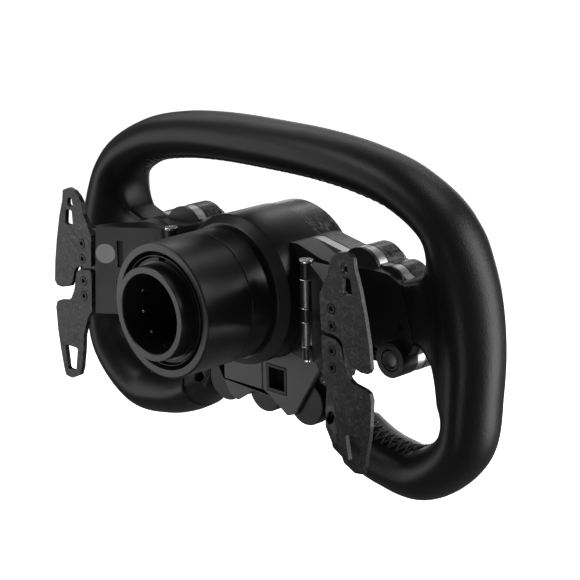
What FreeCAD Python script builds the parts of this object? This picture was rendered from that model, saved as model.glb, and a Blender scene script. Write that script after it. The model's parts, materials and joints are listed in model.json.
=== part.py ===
# Racing wheel rim for a direct-drive wheel base: a leather D-shaped rim around a round hub,
# with a forged carbon front, paddle shifters on a vertical hinge, and a ball-lock quick release.
# Millimetres.  +X is the driver's right, +Y points rearwards to the wheel base, +Z is up.
# The origin is the centre of the quick release socket's mouth.
import FreeCAD, Part
import math
import os

V = FreeCAD.Vector
Y_AXIS = V(0, 1, 0)
Z_AXIS = V(0, 0, 1)

# ---- Driving dimensions ----
# Stations along the hub's axis, from the quick release mouth forwards to the driver.
SLEEVE_FACE_Y = -7.8
SLEEVE_SEAM_Y = -38.2
COLLAR_END_Y = -51.2
BARREL_REAR_Y = -54.9
BARREL_EDGE_Y = -60.3
HOUSING_REAR_Y = -71.7
CHIN_REAR_Y = -76.7
LOBE_REAR_Y = -79.2
FRAME_REAR_Y = -86.0
SEAM_Y = -92.0
PLATE_FRONT_Y = -106.2
RING_FRONT_Y = -111.4

# Rim
RIM_Y = -89.3
GRIP_HALF = 12.8
GRIP_DEPTH_HALF = 17.5
CORE_HALF = 5.0
CORE_DEPTH_HALF = 8.0
RIM_LINE = [(46.0, -64.5), (58.5, -72.2), (70.0, -77.8), (84.0, -81.6), (107.0, -82.2),
            (130.6, -63.0), (136.0, -34.0), (136.8, -5.0), (132.0, 23.0), (118.7, 48.0),
            (93.5, 63.0), (67.0, 69.4), (36.0, 72.4)]
RIM_TOP_Z = 73.0
GRIP_END_X = 57.0
# End cap sections: share of its length, half width, half depth
CAP_SECTIONS = [(0.0, 12.6, 16.6), (0.5, 11.4, 14.0), (1.0, 9.4, 11.0)]
SPOKE_REAR_Y = -79.0
SPOKE_FRONT_Y = -101.5

# Hub
HUB_R = 40.0
HUB_WALL = 3.6
BARREL_REAR_R = 36.1
TRIM_R = 39.3

# Quick release
SOCKET_R = 20.5
SOCKET_DEPTH = 34.0
MOUTH_R = 24.4
CORE_R = 25.5
SHOULDER_R = 30.5
FLANGE_R = 33.0
SLEEVE_R = 35.0
LIP_R = 28.6
BALL_R = 2.4
BALL_CENTRE_R = 23.0
BALL_Y = -15.0
BALL_COUNT = 12
BALL_START = 15.0
SOCKET_GROOVES = [-24.7, -26.8, -29.0]
RUNNING_GAP = 0.1
QR_BOLT_PCD = 54.0

# Control pods on the right half: centre x, centre z, radius
POD_A = (66.5, 16.2, 13.2)
POD_B = (85.6, 13.2, 9.8)
POD_C = (94.0, -22.0, 9.0)
POD_D = (30.5, -60.0, 12.5)
POD_E = (0.0, -60.0, 12.0)
PAD = (58.0, -8.0)
POD_C_REAR_Y = -75.0
POD_EDGE = 3.5
WALL = 2.4

# Controls
BUTTON_R = 5.4
BUTTON_FRONT_Y = -108.6
KNOB_FRONT_Y = -111.0
ROTARY_KNOB_R = 8.2
THUMB_KNOB_R = 7.6
KNOB_GAP = 0.5
SHAFT_R = 3.0

# Paddle shifter
HINGE_X = 50.5
HINGE_Y = -61.0
PIN_R = 1.5
KNUCKLE_R = 3.2
LUG_R = 3.0
WASHER_R = 3.7
ARM_ANGLE = 35.0
ARM_THICK = 3.0
ARM_SET_FORWARD = 3.0
ARM_START = 4.8
ARM_TOP_Z = 22.0
ARM_BOTTOM_Z = -25.0
ARM_END_X = 85.0
FLANGE_X = 99.0
PADDLE_REAR_Y = -34.2
PADDLE_THICK = 2.6
SCREW_X = 93.6
SCREW_SINK = 1.5
SCREW_ZS = [13.8, 5.2, -7.3, -15.8]
# Round magnet: distance from the hinge, height, radius.  Slots: distance, bottom, top, half width.
ARM_PAD = (37.2, 9.0, 5.6)
ARM_SLOTS = [(29.0, 1.4, 16.3, 1.8), (31.3, -10.4, -5.9, 0.5)]
KNUCKLE_SPANS = [(0.4, 14.6), (-19.6, -7.6)]
LUG_SPANS = [(15.4, 23.6), (-6.8, -0.4), (-27.0, -20.4)]

# Outlines of the right half as (x, z) points
SPOKE = [(28.0, 28.0), (34.0, 28.6), (56.0, 24.0), (88.0, 22.0), (98.0, 17.0), (106.0, -13.0), (99.0, -28.0),
         (70.0, -26.0), (54.0, -29.0), (46.0, -36.0), (43.0, -48.0), (20.0, -48.0), (20.0, 0.0)]
CHIN = [(0.0, -30.0), (40.3, -30.0), (43.0, -38.6), (30.5, -60.0), (0.0, -62.0)]
INNER_HOUSING = [(28.5, 28.0), (34.0, 28.4), (56.0, 21.5), (63.0, 17.0), (64.0, -24.0), (48.0, -31.0),
                 (40.0, -34.0), (24.0, -30.0), (24.0, 20.0)]
OUTER_HOUSING = [(52.0, 23.0), (88.0, 20.5), (97.5, 16.5), (105.5, -13.0), (98.0, -26.5), (70.0, -25.5),
                 (50.0, -28.0)]
TONGUE = [(90.0, 12.0), (131.0, 12.0), (134.0, -6.0), (132.0, -20.0), (95.0, -14.0)]
TONGUE_CLEARANCE = [(90.0, 12.1), (131.0, 12.1), (135.0, -6.0), (132.0, -20.1), (95.0, -14.1)]
FRAME_WINDOW = [(50.0, 8.0), (54.0, -16.0), (76.0, -16.0), (74.0, -2.0)]
CHIN_COVER = [(40.3, -30.0), (43.0, -38.6), (24.5, -67.5), (19.0, -69.4), (7.0, -61.6)]
STRAP = [(44.2, -39.4), (49.5, -39.4), (52.6, -52.0), (57.6, -61.5), (57.6, -73.0), (47.5, -67.2),
         (43.4, -62.0), (44.6, -50.0)]
# How far the rear housing stands back along the driver's right: (x, y) points of its slope
HOUSING_SLOPE = [(60.0, -71.6), (67.0, -73.2), (75.0, -77.2), (83.0, -79.4), (94.0, -79.8), (107.0, -79.8)]
# Screw places, then rectangles as (x from, x to, z from, z to)
HOUSING_SCREWS = [(97.0, -5.6), (80.0, -20.0)]
BRACKET_SCREW_ZS = [12.0, -16.0]
PANEL = (-1.0, 28.5, -58.8, -42.5)
PORT = (-17.2, -6.0, -56.4, -45.0)
PORT_FRAME = (-19.0, -4.4, -58.4, -43.2)

# Paddle outlines and windows as (x, z) points
UPPER_PADDLE = [(86.4, 1.7), (96.0, 0.8), (99.6, -1.0), (101.4, -3.8), (102.7, -8.4), (105.4, -12.4),
                (112.6, -14.2), (117.0, -14.0), (118.9, -11.5), (117.7, 0.0), (115.5, 12.0), (112.0, 26.6),
                (108.8, 35.6), (108.0, 41.4), (103.0, 43.4), (98.0, 42.4), (94.8, 40.0), (92.4, 37.0),
                (91.2, 30.6), (88.2, 25.0), (85.4, 19.4)]
LOWER_PADDLE = [(86.4, 0.0), (96.0, -1.1), (99.4, -3.2), (100.7, -8.1), (102.2, -14.0), (105.2, -19.2),
                (108.0, -20.9), (115.1, -22.2), (117.8, -23.4), (119.0, -27.0), (118.3, -40.3),
                (116.5, -51.6), (114.6, -61.2), (113.2, -65.6), (107.9, -66.2), (100.6, -62.8),
                (98.6, -58.2), (96.5, -47.3), (95.4, -38.5), (91.2, -27.9), (87.4, -23.1)]
UPPER_WINDOWS = [[(99.6, 33.0), (104.6, 33.2), (103.8, 38.0), (100.8, 38.0)],
                 [(100.6, 22.4), (107.2, 22.6), (106.0, 31.0), (101.0, 31.0)]]
LOWER_WINDOWS = [[(101.6, -47.4), (112.4, -47.4), (110.8, -61.2), (104.0, -61.2)]]


os.makedirs("parts", exist_ok=True)


# ---- Helpers ----
def cylinder(r, y0, y1, x=0.0, z=0.0):
    """Cylinder along Y between two stations."""
    return Part.makeCylinder(r, abs(y1 - y0), V(x, min(y0, y1), z), Y_AXIS)


def tube(outer, inner, y0, y1, x=0.0, z=0.0):
    return cylinder(outer, y0, y1, x, z).cut(cylinder(inner, y0 - 1, y1 + 1, x, z)
                                             if y0 < y1 else cylinder(inner, y0 + 1, y1 - 1, x, z))


def block(x0, x1, y0, y1, z0, z1):
    return Part.makeBox(x1 - x0, y1 - y0, z1 - z0, V(x0, y0, z0))


def face_xz(points, y):
    """Flat polygon of (x, z) points in the plane at one station."""
    corners = [V(x, y, z) for x, z in points]
    return Part.Face(Part.makePolygon(corners + corners[:1]))


def plate_xz(points, y0, y1):
    return face_xz(points, min(y0, y1)).extrude(V(0, abs(y1 - y0), 0))


def plate_xy(points, z0, z1):
    corners = [V(x, y, z0) for x, y in points]
    return Part.Face(Part.makePolygon(corners + corners[:1])).extrude(V(0, 0, z1 - z0))


def spun(profile, x=0.0, z=0.0):
    """Solid turned about a line along Y from (radius, y) points."""
    corners = [V(x + r, y, z) for r, y in profile]
    face = Part.Face(Part.makePolygon(corners + corners[:1]))
    return face.revolve(V(x, 0, z), Y_AXIS, 360)


def fused(shapes):
    whole = shapes[0]
    for shape in shapes[1:]:
        whole = whole.fuse(shape)
    return whole.removeSplitter()


def mirrored(shape):
    return shape.mirror(V(0, 0, 0), V(1, 0, 0))


def save(name, shape):
    """Write one node; several solids are kept as a group."""
    if len(shape.Solids) == 1:
        shape = shape.Solids[0]
    if not shape.isValid():
        print("invalid:", name)
    shape.exportStep("parts/" + name + ".step")
    print(name, len(shape.Solids), round(sum(s.Volume for s in shape.Solids) / 1000.0, 2))


def save_pair(name, right_shape):
    """The part is modelled on the driver's right and mirrored for the left."""
    save("right_" + name, right_shape)
    save("left_" + name, mirrored(right_shape))


def group(shapes):
    return Part.makeCompound(shapes)


# ---- Rim ----
def rim_curve():
    """Spline centre line of the rim, from the lower left end over the top to the lower right end."""
    right = [V(x, RIM_Y, z) for x, z in RIM_LINE]
    left = [V(-x, RIM_Y, z) for x, z in RIM_LINE]
    points = left + [V(0, RIM_Y, RIM_TOP_Z)] + right[::-1]
    curve = Part.BSplineCurve()
    curve.interpolate(points)
    return curve


def oval_sweep(curve, start, end, half, depth_half):
    """Oval section carried along part of the rim's centre line."""
    trimmed = curve.copy()
    trimmed.segment(start, end)
    path = Part.Wire(trimmed.toShape())
    origin = curve.value(start)
    tangent = curve.tangent(start)[0]
    across = tangent.cross(Y_AXIS)
    oval = Part.Ellipse(origin + Y_AXIS * depth_half, origin + across * half, origin)
    pipe = Part.BRepOffsetAPI.MakePipeShell(path)
    pipe.setBiNormalMode(Y_AXIS)
    pipe.add(Part.Wire(oval.toShape()))
    pipe.build()
    pipe.makeSolid()
    return pipe.shape()


def tapered_cap(curve, start, end):
    """Loft that narrows from the grip's section to the tip beside the hub."""
    sections = []
    for share, half, depth_half in CAP_SECTIONS:
        station = start + (end - start) * share
        origin = curve.value(station)
        across = curve.tangent(station)[0].cross(Y_AXIS)
        oval = Part.Ellipse(origin + Y_AXIS * depth_half, origin + across * half, origin)
        sections.append(Part.Wire(oval.toShape()))
    return Part.makeLoft(sections, True)


def build_rim():
    curve = rim_curve()
    first = curve.FirstParameter
    last = curve.LastParameter
    start = curve.parameter(V(-GRIP_END_X, RIM_Y, -71.4))
    end = curve.parameter(V(GRIP_END_X, RIM_Y, -71.4))
    core = oval_sweep(curve, first, last, CORE_HALF, CORE_DEPTH_HALF)
    grip_outer = oval_sweep(curve, start, end, GRIP_HALF, GRIP_DEPTH_HALF)
    grip_core = oval_sweep(curve, first, last, CORE_HALF + 0.05, CORE_DEPTH_HALF + 0.05)
    cap_outer = tapered_cap(curve, end + (last - end) * 0.03, last)
    return core, grip_outer, grip_core, cap_outer


def spoke_wrap(grip_outer):
    """Padded leather flare that joins the rim to the hub's side at the hand position."""
    top = Part.Arc(V(98, 0, 19), V(110, 0, 24.5), V(119.5, 0, 37)).toShape()
    side = Part.LineSegment(V(119.5, 0, 37), V(130, 0, 0)).toShape()
    low = Part.LineSegment(V(130, 0, 0), V(121.5, 0, -36)).toShape()
    bottom = Part.Arc(V(121.5, 0, -36), V(114.5, 0, -22.5), V(107, 0, -14)).toShape()
    inner = Part.LineSegment(V(107, 0, -14), V(98, 0, 19)).toShape()
    outline = Part.Face(Part.Wire([top, side, low, bottom, inner]))
    outline.translate(V(0, SPOKE_FRONT_Y, 0))
    return outline.extrude(V(0, SPOKE_REAR_Y - SPOKE_FRONT_Y, 0)).cut(grip_outer)


# ---- Hub and front ----
def half_outline(inset, y0, y1):
    """Right half of the hub's lobed outline as one solid between two stations."""
    shapes = []
    for polygon in (SPOKE, CHIN):
        face = face_xz(polygon, y0)
        if inset:
            face = face.makeOffset2D(-inset)
        shapes.append(face.extrude(V(0, y1 - y0, 0)))
    for x, z, r in (POD_A, POD_B, POD_C, POD_D, POD_E):
        shapes.append(cylinder(r - inset, y0, y1, x, z))
    if inset:
        shapes.append(block(0.0, 20.0, y0, y1, -50.0, -32.0))
    return fused(shapes)


def outline_solid(inset, y0, y1):
    half = half_outline(inset, y0, y1).cut(block(-60, 0, y0 - 1, y1 + 1, -120, 60))
    return half.fuse(mirrored(half)).removeSplitter()


def rounded_front(solid, y, radius):
    """Round the outer edges that lie in the front plane; the plain solid stays if none can be."""
    edges = [e for e in solid.Edges if abs(e.BoundBox.YMin - y) < 0.01 and abs(e.BoundBox.YMax - y) < 0.01]
    try:
        rounded = solid.makeFillet(radius, edges)
        if rounded.isValid() and rounded.Volume > 0:
            return rounded
    except Part.OCCError:
        print("front edge stays sharp")
    return solid


def control_spots():
    """Centre x, centre z of every front push button, right side first, then the middle one."""
    return [(POD_B[0], POD_B[1]), (POD_C[0], POD_C[1]), (PAD[0], PAD[1])]


def build_front_plate():
    shell = outline_solid(0.0, PLATE_FRONT_Y, SEAM_Y)
    shell = rounded_front(shell, PLATE_FRONT_Y, POD_EDGE)
    shell = shell.cut(outline_solid(WALL, PLATE_FRONT_Y + 3.0, SEAM_Y + 1.0))
    shell = shell.cut(cylinder(TRIM_R + 0.05, PLATE_FRONT_Y - 1, SEAM_Y + 1))
    for x, z in control_spots():
        for side in (1, -1):
            shell = shell.cut(cylinder(BUTTON_R + 0.4, PLATE_FRONT_Y - 1, SEAM_Y, side * x, z))
    shell = shell.cut(cylinder(BUTTON_R + 0.4, PLATE_FRONT_Y - 1, SEAM_Y, POD_E[0], POD_E[1]))
    for pod in (POD_A, POD_D):
        for side in (1, -1):
            shell = shell.cut(cylinder(SHAFT_R + 0.4, PLATE_FRONT_Y - 1, SEAM_Y, side * pod[0], pod[1]))
    return shell


def build_mid_frame(rim_core):
    """Aluminium frame behind the carbon front, with a tongue out to the rim core on each side."""
    frame = outline_solid(0.25, SEAM_Y, FRAME_REAR_Y)
    frame = frame.cut(cylinder(HUB_R + 0.05, SEAM_Y - 1, FRAME_REAR_Y + 1))
    tongue = plate_xz(TONGUE, SEAM_Y + 0.4, FRAME_REAR_Y - 0.4)
    window = plate_xz(FRAME_WINDOW, SEAM_Y - 1, FRAME_REAR_Y + 1)
    frame = frame.cut(window).cut(mirrored(window))
    frame = frame.fuse(tongue).fuse(mirrored(tongue)).removeSplitter()
    for x, z, r in (POD_A, POD_D):
        for side in (1, -1):
            frame = frame.cut(cylinder(7.0, SEAM_Y - 1, FRAME_REAR_Y + 1, side * x, z))
    for x, z in [(POD_B[0], POD_B[1]), (POD_C[0], POD_C[1])]:
        for side in (1, -1):
            frame = frame.cut(cylinder(5.0, SEAM_Y - 1, FRAME_REAR_Y + 1, side * x, z))
    return frame.cut(rim_core)


def build_hub_barrel():
    outer = spun([(0, SEAM_Y), (HUB_R, SEAM_Y), (HUB_R, BARREL_EDGE_Y),
                  (BARREL_REAR_R, BARREL_REAR_Y), (0, BARREL_REAR_Y)])
    barrel = outer.cut(cylinder(HUB_R - HUB_WALL, SEAM_Y - 1, -63.0))
    barrel = barrel.cut(cylinder(14.0, -64.0, BARREL_REAR_Y + 1))
    for i in range(6):
        angle = math.radians(60 * i + 30)
        x = QR_BOLT_PCD / 2 * math.cos(angle)
        z = QR_BOLT_PCD / 2 * math.sin(angle)
        barrel = barrel.cut(cylinder(2.05, -64.0, BARREL_REAR_Y + 1, x, z))
    return barrel


def build_trim_ring():
    return spun([(34.6, SEAM_Y), (TRIM_R, SEAM_Y), (TRIM_R, RING_FRONT_Y + 1.2), (TRIM_R - 1.2, RING_FRONT_Y),
                 (36.4, RING_FRONT_Y), (36.4, RING_FRONT_Y + 2.4), (34.6, RING_FRONT_Y + 2.4)])


# ---- Rear covers ----


def space_behind_slope():
    """Space behind the housing's rear surface, which falls in a smooth S from the hub to the spoke."""
    slope = Part.BSplineCurve()
    slope.interpolate([V(x, y, 0) for x, y in HOUSING_SLOPE])
    x0, y0 = HOUSING_SLOPE[0]
    x1, y1 = HOUSING_SLOPE[-1]
    corners = [V(x1, y1, 0), V(x1, HOUSING_REAR_Y + 5, 0), V(x0, HOUSING_REAR_Y + 5, 0), V(x0, y0, 0)]
    sides = [Part.LineSegment(a, b).toShape() for a, b in zip(corners, corners[1:])]
    face = Part.Face(Part.Wire([slope.toShape()] + sides))
    face.translate(V(0, 0, -50.0))
    return face.extrude(V(0, 0, 100.0))


def build_rear_housing():
    """Black cover behind the frame, stepped down from the hub to the control pods."""
    inner = plate_xz(INNER_HOUSING, FRAME_REAR_Y, HOUSING_REAR_Y)
    outer = plate_xz(OUTER_HOUSING, FRAME_REAR_Y, HOUSING_REAR_Y)
    body = inner.fuse(outer).removeSplitter().cut(space_behind_slope())
    pods = [cylinder(POD_A[2], FRAME_REAR_Y, -84.0, POD_A[0], POD_A[1]),
            cylinder(POD_B[2], FRAME_REAR_Y, -84.6, POD_B[0], POD_B[1]),
            cylinder(POD_C[2], FRAME_REAR_Y, POD_C_REAR_Y, POD_C[0], POD_C[1])]
    housing = fused([body] + pods)
    pocket = plate_xz([(45, 16), (60, 12), (60, -18), (45, -22)], FRAME_REAR_Y - 1, HOUSING_REAR_Y - 2.5)
    pocket = pocket.fuse(plate_xz([(60, 16), (92, 13), (98, -10), (60, -18)], FRAME_REAR_Y - 1, -82.0))
    housing = housing.cut(pocket).cut(cylinder(HUB_R + 0.1, FRAME_REAR_Y - 1, HOUSING_REAR_Y + 1))
    housing = housing.cut(cylinder(5.8, POD_C_REAR_Y - 4.0, POD_C_REAR_Y + 1, POD_C[0], POD_C[1]))
    housing = housing.cut(cylinder(3.4, POD_C_REAR_Y - 7.0, POD_C_REAR_Y, POD_C[0], POD_C[1]))
    for x, z in HOUSING_SCREWS:
        housing = housing.cut(cylinder(2.6, -81.5, HOUSING_REAR_Y, x, z))
        housing = housing.cut(cylinder(1.3, FRAME_REAR_Y - 1, -79.0, x, z))
    for z in BRACKET_SCREW_ZS:
        housing = housing.cut(cylinder(1.3, HOUSING_REAR_Y - 8, HOUSING_REAR_Y + 1, 57.5, z))
    return housing


def build_chin_housing():
    lobes = [cylinder(r, FRAME_REAR_Y, LOBE_REAR_Y, x, z) for x, z, r in (POD_D, POD_E)]
    right = fused([plate_xz(CHIN, FRAME_REAR_Y, LOBE_REAR_Y)] + lobes)
    right = right.cut(block(-40, 0, FRAME_REAR_Y - 1, LOBE_REAR_Y + 1, -120, 0))
    chin = right.fuse(mirrored(right)).removeSplitter()
    chin = chin.cut(cylinder(HUB_R + 0.1, FRAME_REAR_Y - 1, LOBE_REAR_Y + 1))
    housing_side = plate_xz(INNER_HOUSING, FRAME_REAR_Y - 1, HOUSING_REAR_Y)
    outer_side = plate_xz(OUTER_HOUSING, FRAME_REAR_Y - 1, HOUSING_REAR_Y)
    for side in (housing_side, outer_side):
        chin = chin.cut(side).cut(mirrored(side))
    return chin.cut(block(PORT_FRAME[0], PORT_FRAME[1], -85.0, CHIN_REAR_Y + 1, PORT_FRAME[2], PORT_FRAME[3]))


def build_chin_cover():
    outline = CHIN_COVER + [(-x, z) for x, z in CHIN_COVER[::-1]]
    cover = plate_xz(outline, LOBE_REAR_Y, CHIN_REAR_Y)
    cover = cover.cut(cylinder(HUB_R + 0.1, LOBE_REAR_Y - 1, CHIN_REAR_Y + 1))
    side = plate_xz(INNER_HOUSING, FRAME_REAR_Y - 1, HOUSING_REAR_Y)
    cover = cover.cut(side).cut(mirrored(side))
    cover = cover.cut(block(PANEL[0], PANEL[1], CHIN_REAR_Y - 1.2, CHIN_REAR_Y + 1, PANEL[2], PANEL[3]))
    return cover.cut(block(PORT_FRAME[0], PORT_FRAME[1], LOBE_REAR_Y - 1, CHIN_REAR_Y + 1,
                           PORT_FRAME[2], PORT_FRAME[3]))


def build_chin_panel():
    gap = 0.15
    return block(PANEL[0] + gap, PANEL[1] - gap, CHIN_REAR_Y - 1.2, CHIN_REAR_Y + 0.35, PANEL[2] + gap,
                 PANEL[3] - gap).cut(cylinder(HUB_R + 0.3, CHIN_REAR_Y - 3, CHIN_REAR_Y + 3))


def build_port_socket():
    gap = 0.1
    shell = block(PORT_FRAME[0] + gap, PORT_FRAME[1] - gap, -84.9, CHIN_REAR_Y, PORT_FRAME[2] + gap,
                  PORT_FRAME[3] - gap)
    return shell.cut(block(PORT[0], PORT[1], -83.4, CHIN_REAR_Y + 1, PORT[2], PORT[3]))


def build_lower_bracket(cap_outer, core_clear):
    """Grip end cap with a screwed strap up to the hub; the rim core's end sits in it."""
    strap = plate_xz(STRAP, SEAM_Y - 2.0, LOBE_REAR_Y - 0.4)
    strap = strap.cut(cylinder(POD_D[2] + 0.3, -110, -70, POD_D[0], POD_D[1]))
    bracket = fused([cap_outer, strap])
    bracket = bracket.cut(core_clear)
    for polygon in (SPOKE, CHIN):
        bracket = bracket.cut(plate_xz([(x, z) for x, z in polygon], PLATE_FRONT_Y - 1, FRAME_REAR_Y + 0.1))
    bracket = bracket.cut(cylinder(POD_D[2] + 0.1, -112, -70, POD_D[0], POD_D[1]))
    bracket = bracket.cut(cylinder(2.6, LOBE_REAR_Y - 2.4, LOBE_REAR_Y + 1, 50.0, -63.4))
    return bracket.cut(cylinder(1.3, LOBE_REAR_Y - 9, LOBE_REAR_Y + 1, 50.0, -63.4))


def socket_screw(x, z, head_y, head_r, head_length, shank_r, shank_length):
    """Cap screw along Y with a hex socket; its head's rear face is at head_y."""
    head = cylinder(head_r, head_y - head_length, head_y, x, z)
    shank = cylinder(shank_r, head_y - head_length - shank_length, head_y - head_length, x, z)
    hexagon = [(x + 0.55 * head_r * math.cos(math.radians(60 * i)),
                z + 0.55 * head_r * math.sin(math.radians(60 * i))) for i in range(6)]
    drive = plate_xz(hexagon, head_y - 0.6 * head_length, head_y + 0.1)
    return head.fuse(shank).removeSplitter().cut(drive)


def build_housing_screws():
    screws = []
    for x, z in HOUSING_SCREWS:
        screws.append(socket_screw(x, z, -79.9, 2.4, 1.6, 1.2, 3.8))
    screws.append(socket_screw(50.0, -63.4, LOBE_REAR_Y - 0.8, 2.4, 1.6, 1.2, 5.0))
    return group(screws + [mirrored(s) for s in screws])


# ---- Display and electronics ----
def build_display_glass():
    return spun([(0, RING_FRONT_Y + 0.3), (35.2, RING_FRONT_Y + 0.3), (36.2, RING_FRONT_Y + 1.0),
                 (36.2, RING_FRONT_Y + 2.3), (0, RING_FRONT_Y + 2.3)])


def build_display_module():
    back = RING_FRONT_Y + 9.0
    screen = cylinder(34.0, RING_FRONT_Y + 2.4, back)
    return screen.fuse(block(-14, 14, back, back + 1.6, -22, 22)).removeSplitter()


def build_main_board():
    board = cylinder(33.0, -94.6, -93.0)
    chips = [block(-18, -6, -93.0, -91.4, -4, 8), block(4, 14, -93.0, -91.8, 4, 14),
             block(6, 20, -93.0, -90.0, -18, -10), cylinder(3.0, -93.0, -86.0, -16, -16)]
    return fused([board] + chips)


def build_encoder_modules():
    modules = []
    for x, z, r in (POD_A, POD_D):
        body = block(x - 5.8, x + 5.8, -101.0, -92.6, z - 5.8, z + 5.8)
        body = body.cut(cylinder(SHAFT_R + 0.3, -102.0, -94.0, x, z))
        modules.append(body)
    return group(modules + [mirrored(m) for m in modules])


def build_button_switches():
    """Small switch behind each push button, and the board that carries it."""
    switches = []
    for x, z in control_spots():
        body = block(x - 3.0, x + 3.0, -98.6, -95.4, z - 3.0, z + 3.0)
        switches.append(body.fuse(cylinder(1.7, -98.6, -99.5, x, z)).removeSplitter())
    switches = switches + [mirrored(s) for s in switches]
    middle = block(-3.0, 3.0, -98.6, -95.4, POD_E[1] - 3.0, POD_E[1] + 3.0)
    switches.append(middle.fuse(cylinder(1.7, -98.6, -99.5, 0, POD_E[1])).removeSplitter())
    return group(switches)


# ---- Front controls ----
def build_button(x, z):
    """Dished cap whose flange is caught behind the front plate."""
    cap = spun([(0, BUTTON_FRONT_Y + 0.7), (3.6, BUTTON_FRONT_Y + 0.35), (4.7, BUTTON_FRONT_Y),
                (BUTTON_R, BUTTON_FRONT_Y + 0.7), (BUTTON_R, -102.9), (BUTTON_R + 0.8, -102.9),
                (BUTTON_R + 0.8, -101.4), (0, -101.4)], x, z)
    return cap


def build_knob(x, z, r):
    """Ribbed encoder knob with its shaft running back into the encoder."""
    knob = spun([(0, KNOB_FRONT_Y + 0.8), (r * 0.55, KNOB_FRONT_Y + 0.8), (r * 0.65, KNOB_FRONT_Y),
                 (r - 0.8, KNOB_FRONT_Y), (r, KNOB_FRONT_Y + 0.8), (r, PLATE_FRONT_Y - KNOB_GAP),
                 (SHAFT_R, PLATE_FRONT_Y - KNOB_GAP), (SHAFT_R, -94.6), (0, -94.6)], x, z)
    ribs = 24
    for i in range(ribs):
        angle = math.radians(360.0 / ribs * i)
        groove = cylinder(0.55, KNOB_FRONT_Y - 1, PLATE_FRONT_Y - KNOB_GAP - 1.6,
                          x + (r + 0.15) * math.cos(angle), z + (r + 0.15) * math.sin(angle))
        knob = knob.cut(groove)
    return knob


def build_rear_button():
    """Dished finger button that looks backwards out of the outer pod."""
    x, z, r = POD_C
    return spun([(0, POD_C_REAR_Y - 1.6), (3.4, POD_C_REAR_Y - 1.2), (4.7, POD_C_REAR_Y + 0.2),
                 (5.4, POD_C_REAR_Y - 0.5), (5.4, POD_C_REAR_Y - 2.5), (2.9, POD_C_REAR_Y - 2.5),
                 (2.9, POD_C_REAR_Y - 5.6), (0, POD_C_REAR_Y - 5.6)], x, z)


# ---- Quick release ----
def build_qr_core():
    core = spun([(SOCKET_R + 0.5, 0), (MOUTH_R - 0.4, 0), (MOUTH_R, -0.4), (MOUTH_R, -9.4), (CORE_R, -9.4),
                 (CORE_R, -36.4), (SHOULDER_R, -36.4), (SHOULDER_R, -46.6), (FLANGE_R, -46.6),
                 (FLANGE_R, BARREL_REAR_Y), (15.6, BARREL_REAR_Y), (15.6, -SOCKET_DEPTH),
                 (SOCKET_R, -SOCKET_DEPTH), (SOCKET_R, -0.5)])
    for y in SOCKET_GROOVES:
        core = core.cut(tube(SOCKET_R + 0.7, SOCKET_R - 1.0, y - 0.5, y + 0.5))
    core = core.cut(tube(CORE_R + 1.0, MOUTH_R, -11.2, -9.9))
    for i in range(BALL_COUNT):
        hole = Part.makeCylinder(BALL_R + 0.06, 12.0, V(SOCKET_R - 4.0, BALL_Y, 0), V(1, 0, 0))
        hole.rotate(V(0, 0, 0), Y_AXIS, 360.0 / BALL_COUNT * i + BALL_START)
        core = core.cut(hole)
    for i in range(6):
        angle = math.radians(60 * i + 30)
        x = QR_BOLT_PCD / 2 * math.cos(angle)
        z = QR_BOLT_PCD / 2 * math.sin(angle)
        core = core.cut(cylinder(2.1, BARREL_REAR_Y - 1, -36.0, x, z))
        core = core.cut(cylinder(3.7, -41.0, -30.0, x, z).common(cylinder(FLANGE_R, -41.0, -36.4)))
    return core


def build_qr_sleeve():
    return spun([(SLEEVE_R - 0.6, SLEEVE_FACE_Y), (SLEEVE_R, SLEEVE_FACE_Y - 0.6), (SLEEVE_R, SLEEVE_SEAM_Y),
                 (31.0, SLEEVE_SEAM_Y), (31.0, -19.0), (CORE_R + RUNNING_GAP, -19.0),
                 (CORE_R + RUNNING_GAP, -13.0), (27.9, -13.0), (27.9, SLEEVE_FACE_Y - 0.6),
                 (LIP_R, SLEEVE_FACE_Y - 0.6), (LIP_R, -11.8), (30.6, SLEEVE_FACE_Y)])


def build_qr_collar():
    start = SLEEVE_SEAM_Y - 0.35
    return spun([(33.4, COLLAR_END_Y), (SLEEVE_R - 0.5, COLLAR_END_Y), (SLEEVE_R, COLLAR_END_Y + 0.5),
                 (SLEEVE_R, start - 0.2), (SLEEVE_R - 0.2, start), (SLEEVE_R - 0.9, start),
                 (SLEEVE_R - 0.9, SLEEVE_SEAM_Y), (31.0, SLEEVE_SEAM_Y), (31.0, -42.8), (33.4, -42.8)])


def build_qr_balls():
    balls = []
    for i in range(BALL_COUNT):
        ball = Part.makeSphere(BALL_R, V(BALL_CENTRE_R, BALL_Y, 0))
        ball.rotate(V(0, 0, 0), Y_AXIS, 360.0 / BALL_COUNT * i + BALL_START)
        balls.append(ball)
    return group(balls)


def build_qr_spring():
    """Coil spring between the sleeve's shoulder and the core's shoulder."""
    wire_r = 0.9
    y_back = -36.3
    y_front = -19.2
    turns = 4.5
    height = y_front - y_back - 2 * wire_r
    helix = Part.makeHelix(height / turns, height, 28.2)
    helix.rotate(V(0, 0, 0), V(1, 0, 0), -90)
    helix.translate(V(0, y_back + wire_r, 0))
    start = helix.Vertexes[0].Point
    section = Part.Wire(Part.Circle(start, Z_AXIS, wire_r).toShape())
    return Part.Wire(helix).makePipeShell([section], True, True)


def build_qr_clip():
    ring = tube(27.0, MOUTH_R + 0.1, -11.1, -10.0)
    return ring.cut(block(-2.5, 2.5, -12, -9, 20, 30))


def build_contact_block():
    block_shape = cylinder(15.5, BARREL_REAR_Y + 0.2, -SOCKET_DEPTH - 0.4)
    return block_shape.fuse(block(-9.0, 9.0, -SOCKET_DEPTH - 0.4, -31.6, -5.0, 5.0)).removeSplitter()


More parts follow.
